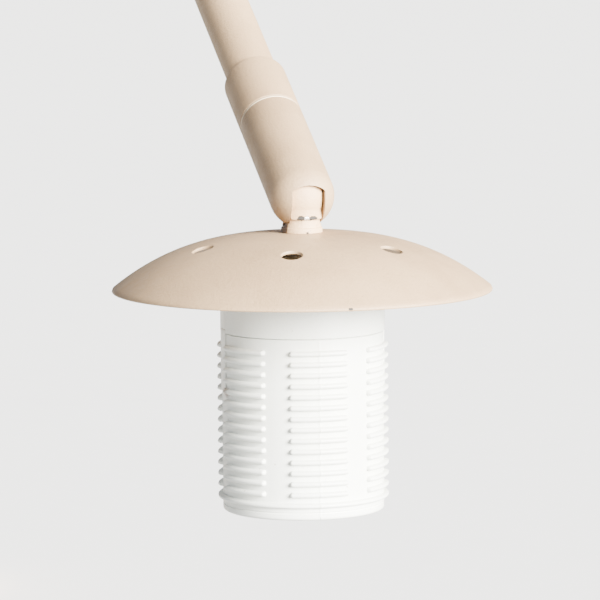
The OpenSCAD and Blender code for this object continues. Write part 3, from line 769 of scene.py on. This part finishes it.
def basePiece():
    r, top = base["radius"], base["top"]
    profile = filletLoop([(0, base["pad"]), (r, base["pad"], 1), (r, top, base["round"]), (0, top)], 8)
    obj = lathe("base", profile, 256)
    hole = Matrix.Translation((base["switchX"] * mm, 0, 0))
    combine(obj, "DIFFERENCE", rod("switchHole", base["button"] + 1.2, 5, 40, 64, hole))
    inlet = Matrix.Translation((0, 0, base["inlet"] * mm)) @ toMinusX
    combine(obj, "DIFFERENCE", rod("inletHole", 4.52, 100, 130, 48, inlet))
    return piece(soften(obj, 0.4), "baseSkin", rowFrame, "base", materials["basePaint"],
                 ["base_weight"])


def switchPieces():
    place = Matrix.Translation((base["switchX"] * mm, 0, 0))
    top, inner = base["top"], base["button"] + 0.3
    ring = filletLoop([(inner, 19.5), (base["button"] + 1.18, 19.5), (base["button"] + 1.18, top),
                       (base["bezel"], top), (base["bezel"], top + 1.5, 0.8), (inner, top + 1.5, 0.4)])
    piece(lathe("bezel", ring, 96), "switchBezelSkin", place, "base", materials["black"],
          ["switch_bezel"])
    head, foot = base["buttonTop"], base["buttonFoot"]
    cap = filletLoop([(0, foot), (base["button"], foot), (base["button"], head, 1)])
    cap += [(5 * (1 - k / 6), head - 0.35 * sin(k / 6 * pi / 2)) for k in range(7)]
    cap[-1] = (0, head - 0.35)
    button = lathe("button", cap, 96)
    combine(button, "UNION", rod("stem", 3, 10.5, foot + 1, 48))
    piece(button, "switchButtonSkin", place, "button", materials["black"], ["switch_button"])


def glandPiece():
    place = Matrix.Translation((-base["radius"] * mm, 0, base["inlet"] * mm)) @ toMinusX
    bore, shank, nut, sleeve = [gland[key] for key in ("bore", "shank", "nut", "sleeve")]
    depth, length, reach = -gland["depth"], gland["nutLength"], gland["reach"]
    profile = filletLoop([(bore, depth), (shank, depth), (shank, 0), (nut, 0), (nut, length, 1),
                          (sleeve, length, 0.6), (sleeve, reach, 0.8), (bore, reach, 0.5)])
    obj = lathe("gland", profile, 64)
    return piece(obj, "cableGlandSkin", place, "base", materials["black"], ["cable_gland"])


def baseCollarPiece():
    r, top = knuckle["radius"], base["collarTop"]
    profile = filletLoop([(6, base["top"]), (r, base["top"]), (r, top, knuckle["edge"]), (6, top)])
    return piece(lathe("baseCollar", profile, 144), "baseCollarSkin", rowFrame, "base", materials["paint"],
                 ["base_collar"])


def padPiece():
    profile = filletLoop([(0, 0), (112, 0, 0.8), (112, base["pad"]), (0, base["pad"])])
    pad = lathe("pad", profile, 192)
    return piece(pad, "basePadSkin", rowFrame, "base", materials["rubber"], ["base_pad"])


basePiece()
switchPieces()
glandPiece()
baseCollarPiece()
padPiece()
print("base built")


# Shade
shade = {
    "radius": 90, "rise": 26.3, "wall": 1.5, "power": 2.75, "crown": 17.5,
    "vents": 6, "ventRing": 51, "ventRadius": 5, "ventTurn": 200.6,
}


def shadeHeight(r):
    return shade["crown"] + shade["rise"] * (r / shade["radius"]) ** shade["power"]


def shadePiece():
    rim, wall = shade["radius"], shade["wall"]
    radii = [5.2 + (rim - 0.5 - 5.2) * (k / 56) for k in range(57)]
    outer = [(r, shadeHeight(r)) for r in radii]
    inner = [(r, shadeHeight(r) + wall) for r in reversed(radii)]
    edge = [(rim - 0.15, shadeHeight(rim) + 0.25), (rim, shadeHeight(rim) + wall / 2),
            (rim - 0.2, shadeHeight(rim) + wall - 0.15)]
    obj = lathe("shade", outer + edge + inner, 288)
    for k in range(shade["vents"]):
        turn = Matrix.Rotation(radians(shade["ventTurn"] + k * 360 / shade["vents"]) - squareTurn, 4, "Z")
        turn = turn @ Matrix.Translation((shade["ventRing"] * mm, 0, 0))
        combine(obj, "DIFFERENCE", rod("vent", shade["ventRadius"], 0, 60, 64, turn))
    soften(obj, 0.35, 2, 50)
    return piece(obj, "shadeSkin", shadeFrame, "head", materials["shadePaint"], ["shade"])


shadePiece()
print("shade built")


# Can
can = {
    "turn": 183.7, "cupRadius": 38.9, "cupWall": 2, "cupTop": 27, "cupEnd": 64.3, "cupShy": 0.5,
    "cupRound": 5, "airHoles": 8, "airHole": 4,
    "radius": 38.25, "inner": 35.25, "end": 149.3, "spigot": 36.8, "spigotFrom": 56.3,
    "ribs": 14, "firstRib": 70.7, "pitch": 5.11, "ribHigh": 2.3, "ribHalf": 1.28, "blocks": 6, "block": 42,
    "ringRib": 142.24, "groove": 145.84, "footRound": 1.5,
    "finger": 16, "fingerFrom": 62.3, "fingerTo": 91.8, "fingerIn": 35.65, "fingerOut": 38.85, "slit": 0.6,
}
bulb = {"contact": 46, "radius": 27.5, "centre": 116.5, "cap": 13, "wall": 1}
materials["can"] = plasticMaterial("agedWhite", stained=True)


def gridShell(name, outer, inner, keep, cyclic=True):
    rows, cols = outer.shape[:2]
    count = rows * cols
    points = np.concatenate([outer.reshape(-1, 3), inner.reshape(-1, 3)])
    faces = []

    def at(layer, i, j):
        return layer * count + i * cols + j % cols

    def kept(i, j):
        inRange = 0 <= i < keep.shape[0] and (cyclic or 0 <= j < keep.shape[1])
        return inRange and keep[i, j % keep.shape[1]]

    for i in range(keep.shape[0]):
        for j in range(keep.shape[1]):
            if not keep[i, j]:
                continue
            corners = [(i, j), (i, j + 1), (i + 1, j + 1), (i + 1, j)]
            faces.append([at(0, *c) for c in corners])
            faces.append([at(1, *c) for c in reversed(corners)])
            beside = [(i - 1, j), (i, j + 1), (i + 1, j), (i, j - 1)]
            for k, neighbour in enumerate(beside):
                if not kept(*neighbour):
                    a, b = corners[k], corners[(k + 1) % 4]
                    faces.append([at(0, *b), at(0, *a), at(1, *a), at(1, *b)])
    mesh = bpy.data.meshes.new(name)
    mesh.from_pydata(points.tolist(), [], faces)
    build = bmesh.new()
    build.from_mesh(mesh)
    bpy.data.meshes.remove(mesh)
    loose = [v for v in build.verts if not v.link_faces]
    bmesh.ops.delete(build, geom=loose, context="VERTS")
    return fromBmesh(name, build)


def ribCrest(distance):
    share = np.clip(distance / can["ribHalf"], 0, 1)
    return can["ribHigh"] * np.sqrt(1 - share ** 2.6)


def sleevePiece():
    half = can["block"] / 2
    ends = [half - 0.25 * k for k in range(13)] + [half + 0.12]
    inBlock = sorted({-a for a in ends} | set(ends) | set(np.linspace(-18, 18, 19)) | {-0.35, 0.0, 0.35})
    gap = [half + 0.5, half + 3, half + 6, 30]
    columns = []
    for k in range(can["blocks"]):
        middle = k * 360 / can["blocks"]
        columns += [middle + a for a in inBlock + gap] + [middle - a for a in gap[:3]]
    columns = np.array(sorted({round(c % 360, 4) for c in columns}))
    steps = [0.25, 0.5, 0.72, 0.86, 0.94, 0.985, 1]
    shares = [-s for s in reversed(steps)] + [0] + steps
    centres = [can["firstRib"] + i * can["pitch"] for i in range(can["ribs"])] + [can["ringRib"]]
    levels = [c + s * can["ribHalf"] for c in centres for s in shares]
    levels += [can["spigotFrom"], can["cupEnd"] - 0.02, can["cupEnd"], can["cupEnd"] + 0.3, 66.5]
    levels += [can["fingerTo"] + can["slit"], can["cupEnd"] - 0.5]
    levels += [can["groove"] + 0.5 * s for s in (-1, -0.9, -0.6, 0, 0.6, 0.9, 1)]
    round0 = can["end"] - can["footRound"]
    levels += [round0 + can["footRound"] * sin(k * pi / 12) for k in range(7)]
    levels = np.array(sorted({round(v, 4) for v in levels}))

    theta, level = np.meshgrid(columns, levels)
    radius = np.full(theta.shape, float(can["radius"]))
    fromMiddle = (theta + 30) % 60 - 30
    beyond = np.maximum(0, (np.abs(fromMiddle) - half) * radians(1) * can["radius"] + can["ribHalf"])
    crest = np.zeros(theta.shape)
    for centre in centres[:-1]:
        crest = np.maximum(crest, ribCrest(np.hypot(level - centre, beyond)))
    crest = np.maximum(crest, ribCrest(np.abs(level - can["ringRib"])))
    crest += 0.12 * (theta < 0.05) * (level > can["cupEnd"] + 1)
    radius = radius + crest
    radius -= np.sqrt(np.clip(0.25 - (level - can["groove"]) ** 2, 0, None))
    under = np.clip(level - round0, 0, can["footRound"])
    radius -= can["footRound"] - np.sqrt(can["footRound"] ** 2 - under ** 2)
    radius -= 0.5 * (np.abs((theta + 180) % 360 - 180) < 0.3) * (level > round0)
    radius = np.where(level < can["cupEnd"] - 0.01, can["spigot"], radius)
    radius = np.where(np.abs(level - can["cupEnd"]) < 0.01, can["radius"] - 0.25, radius)
    angle = np.radians(theta + can["turn"])

    def shell(r):
        return np.stack([r * np.cos(angle), r * np.sin(angle), level], -1) * mm

    keep = np.ones((len(levels) - 1, len(columns)), bool)
    middleTheta = (columns + np.roll(columns, -1) + 360 * (np.roll(columns, -1) < columns)) / 2
    middleLevel = (levels[1:] + levels[:-1]) / 2
    slitHalf = can["finger"] / 2 + 0.7
    for side in (90, 270):
        inWindow = np.abs((middleTheta - side + 180) % 360 - 180) < slitHalf
        tall = (middleLevel > can["cupEnd"] - 0.5) & (middleLevel < can["fingerTo"] + can["slit"])
        keep[np.ix_(tall, inWindow)] = False
    obj = gridShell("sleeve", shell(radius), shell(np.full(theta.shape, float(can["inner"]))), keep)
    return piece(obj, "sleeveSkin", headFrame, "head", materials["can"], ["sleeve"])


def fingerPiece(side, name):
    span = radians(can["finger"])
    build = bmesh.new()
    bmesh.ops.create_grid(build, x_segments=20, y_segments=12, size=0.5)
    bmesh.ops.solidify(build, geom=build.faces, thickness=1)
    heights = [v.co.z for v in build.verts]
    low, high = min(heights), max(heights)
    for v in build.verts:
        angle = radians(can["turn"] + side) + span * v.co.x
        r = can["fingerIn"] + (can["fingerOut"] - can["fingerIn"]) * (v.co.z - low) / (high - low)
        z = (can["fingerFrom"] + can["fingerTo"]) / 2 + (can["fingerTo"] - can["fingerFrom"]) * v.co.y
        v.co = Vector((r * cos(angle), r * sin(angle), z)) * mm
    obj = soften(fromBmesh(name, build), 0.35, 3, 50)
    obj.name = name
    shadeSmooth(obj)
    obj.data.materials.append(materials["can"])
    obj.matrix_world = headFrame
    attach(obj, "head")
    return obj


def cupPiece():
    r, top, end, wall = can["cupRadius"], can["cupTop"], can["cupEnd"] - can["cupShy"], can["cupWall"]
    profile = filletLoop([(5.2, top, 0.3), (r, top, can["cupRound"]), (r, end, 0.35), (r - wall, end, 0.3),
                          (r - wall, top + wall, can["cupRound"] - wall), (5.2, top + wall, 0.3)], 10)
    obj = lathe("cup", profile, 216)
    outward = Matrix.Translation((0.7 * (r - wall) * mm, 0, 0))
    for k in range(can["airHoles"]):
        turn = Matrix.Rotation(2 * pi * k / can["airHoles"], 4, "Z") @ outward
        combine(obj, "DIFFERENCE", rod("airHole", can["airHole"], top - 5, top + 5, 48, turn))
    for side in (90, 270):
        span = radians(can["finger"] + 1) / 2
        outline = [(30 * cos(a), 30 * sin(a)) for a in (-span, span)]
        outline += [(45 * cos(a), 45 * sin(a)) for a in (span, 0, -span)]
        build = bmesh.new()
        layers = [[build.verts.new((x * mm, y * mm, z * mm)) for x, y in outline]
                  for z in (can["fingerFrom"] - 0.3, end + 3)]
        build.faces.new(layers[0])
        build.faces.new(layers[1])
        for i in range(5):
            n = (i + 1) % 5
            build.faces.new((layers[0][i], layers[0][n], layers[1][n], layers[1][i]))
        build.transform(Matrix.Rotation(radians(can["turn"] + side), 4, "Z"))
        combine(obj, "DIFFERENCE", fromBmesh("notch", build))
    soften(obj, 0.25, 2, 50)
    return piece(obj, "cupSkin", headFrame, "head", materials["cup"], ["cup"])


def glassPiece():
    r, start = bulb["radius"], bulb["contact"] + 17
    neckR = bulb["cap"] - 0.62
    angles = [40 + (180 - 40) * k / 48 for k in range(49)]
    outer = [(neckR, start), (neckR, start + 8)]
    outer += [(r * sin(radians(a)), bulb["centre"] - r * cos(radians(a))) for a in angles]
    outer[-1] = (0, outer[-1][1])
    inset = r - bulb["wall"]
    inner = [(inset * sin(radians(a)), bulb["centre"] - inset * cos(radians(a))) for a in reversed(angles)]
    inner[0] = (0, inner[0][1])
    inner += [(neckR - 1, start + 8), (neckR - 1, start)]
    return piece(lathe("glass", outer + inner, 128), "bulbGlassSkin", headFrame, "head", materials["glass"],
                 ["bulb_glass"])


sleevePiece()
fingerPiece(90, "fingerLeft")
fingerPiece(270, "fingerRight")
cupPiece()
glassPiece()
print("can built")


# CAD nodes that are shown as they are
nodeFinish = {
    "steel": ("steel", ["base_spindle", "base_nut", "cup_spacer", "cup_nut"]
              + [f"{k}_{part}" for k in ("base", "elbow", "head") for part in ("swivel_spring", "swivel_nut")]
              + [f"{k}_{part}" for k in ("shoulder", "elbow", "head") for part in ("pivot_screw", "spring")]
              + ["elbow_spindle", "head_spindle"]),
    "fibre": ("fibre", [f"{k}_friction_washers" for k in ("shoulder", "elbow", "head")]),
    "lead": ("lead_sheath", ["lower_lead", "upper_lead"]),
    "black": ("black_plastic", ["switch_body"]),
    "brass": ("brass", ["nipple", "screw_shell"]),
    "holder": ("holder_plastic", ["holder_cap", "holder_body"]),
    "ceramic": ("ceramic_block", ["contact_block"]),
    "bulbMetal": ("bulb_metal", ["bulb_cap"]),
}
for finish, (slotName, names) in nodeFinish.items():
    for name in names:
        node = frame["nodes"][name]
        node.data.materials.clear()
        node.data.materials.append(materials[finish])
print("cad nodes finished")


# Stage, light and camera
light = {
    "fill": 0.5, "fillColour": (0.90, 0.98, 1.12), "backdrop": 3.3, "floorSeen": 0.8, "floorBounce": 0.33,
    "key": {"strength": 40, "spread": 32, "turn": 74, "rise": 17},
    "side": {"strength": 6, "spread": 60, "turn": 120, "rise": 22},
}
view = {
    "turn": 31.6, "rise": 6.65, "roll": 0.42, "distance": 2.0, "right": 0.0007, "up": 0.0495,
    "sensor": 36, "lens": 254.4,
}


def stageFloor():
    build = bmesh.new()
    bmesh.ops.create_grid(build, x_segments=1, y_segments=1, size=40)
    floor = fromBmesh("studioFloor", build)
    material, tree, shader = newMaterial("studioPaper")
    vector = addNode(tree, "TexCoord").outputs["Object"]
    grey = mixValue(tree, addNode(tree, "LightPath").outputs["Is Camera Ray"], light["floorBounce"],
                    light["floorSeen"])
    plain = addNode(tree, "CombineColor", Red=grey, Green=grey, Blue=grey).outputs[0]
    tone = toned(tree, vector, plain, (0.6, 0.6, 0.6), 0.06, 0.4)
    setShader(tree, shader, Base_Color=tone, Roughness=0.9, Specular_IOR_Level=0.1)
    clear = addNode(tree, "BsdfTransparent")
    mix = addNode(tree, "MixShader", Fac=addNode(tree, "NewGeometry").outputs["Backfacing"])
    tree.links.new(shader.outputs[0], mix.inputs[1])
    tree.links.new(clear.outputs[0], mix.inputs[2])
    output = next(n for n in tree.nodes if n.type == "OUTPUT_MATERIAL")
    tree.links.new(mix.outputs[0], output.inputs["Surface"])
    floor.data.materials.append(material)


def worldLight():
    world = bpy.data.worlds.new("studio")
    bpy.context.scene.world = world
    world.use_nodes = True
    tree = world.node_tree
    tree.nodes.clear()
    backdrop = light["backdrop"]
    seen = addNode(tree, "Background", Color=(backdrop, backdrop, backdrop), Strength=1.0)
    fill = addNode(tree, "Background", Color=light["fillColour"], Strength=light["fill"])
    mix = addNode(tree, "MixShader", Fac=addNode(tree, "LightPath").outputs["Is Camera Ray"])
    tree.links.new(fill.outputs[0], mix.inputs[1])
    tree.links.new(seen.outputs[0], mix.inputs[2])
    tree.links.new(mix.outputs[0], addNode(tree, "OutputWorld").inputs["Surface"])


def facing(turnDegrees, riseDegrees):
    turn, rise = radians(turnDegrees), radians(riseDegrees)
    return Vector((sin(turn) * cos(rise), -cos(turn) * cos(rise), sin(rise)))


def softSun(name):
    given = light[name]
    data = bpy.data.lights.new(name, "SUN")
    data.energy = given["strength"]
    data.angle = radians(given["spread"])
    data.color = (1.0, 0.98, 0.93)
    sun = bpy.data.objects.new(name, data)
    bpy.context.scene.collection.objects.link(sun)
    sun.rotation_mode = "QUATERNION"
    sun.rotation_quaternion = facing(given["turn"], given["rise"]).to_track_quat("Z", "Y")


def mainCamera():
    turn, roll = radians(view["turn"]), radians(view["roll"])
    back = facing(view["turn"], view["rise"])
    level = Vector((cos(turn), sin(turn), 0))
    high = back.cross(level)
    rightAxis = level * cos(roll) - high * sin(roll)
    upAxis = high * cos(roll) + level * sin(roll)
    data = bpy.data.cameras.new("main")
    data.sensor_width = view["sensor"]
    data.lens = view["lens"]
    data.clip_start, data.clip_end = 0.05, 200
    camera = bpy.data.objects.new("main", data)
    bpy.context.scene.collection.objects.link(camera)
    matrix = Matrix((rightAxis, upAxis, back)).transposed().to_4x4()
    aim = Vector(joints["head_tilt"]["pos_m"]) - rightAxis * view["right"] - upAxis * view["up"]
    matrix.translation = aim + back * view["distance"]
    camera.matrix_world = matrix
    bpy.context.scene.camera = camera


stageFloor()
worldLight()
softSun("key")
softSun("side")
mainCamera()
print("stage set")
